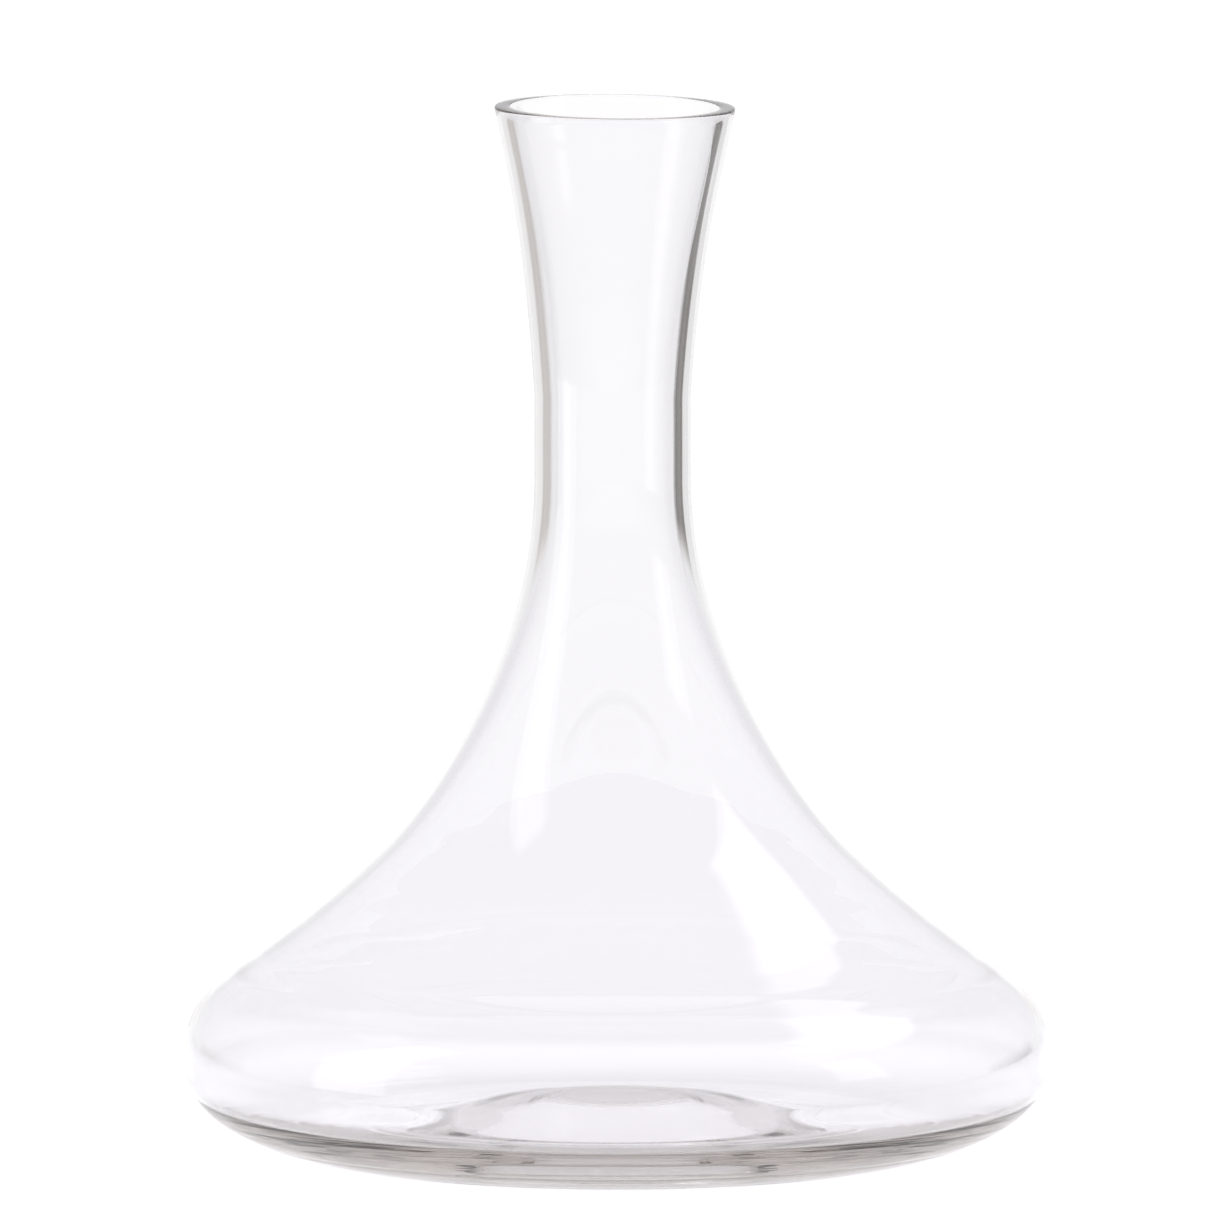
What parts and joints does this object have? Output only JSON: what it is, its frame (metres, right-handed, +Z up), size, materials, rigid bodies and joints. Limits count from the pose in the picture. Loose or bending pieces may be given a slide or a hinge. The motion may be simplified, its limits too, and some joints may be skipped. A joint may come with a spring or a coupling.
{
  "type": "wine decanter",
  "caption": "Clear glass wine decanter with a wide, low bowl, a slender waisted neck, a flared open mouth with a flat rim, and a thick, dished base.",
  "frame": {"origin": "on the vessel's axis, in the plane of the foot ring that rests on the table", "axes": "+Z up along the vessel's axis, out of the mouth; the vessel is round, so +X and +Y are any two level directions at right angles"},
  "size_m": [0.2, 0.2, 0.245],
  "materials": {
    "clear_glass": "fire-polished, with a ground rim"
  },
  "bodies": {
    "root": {"vessel": "clear_glass"}
  },
  "joints": []
}
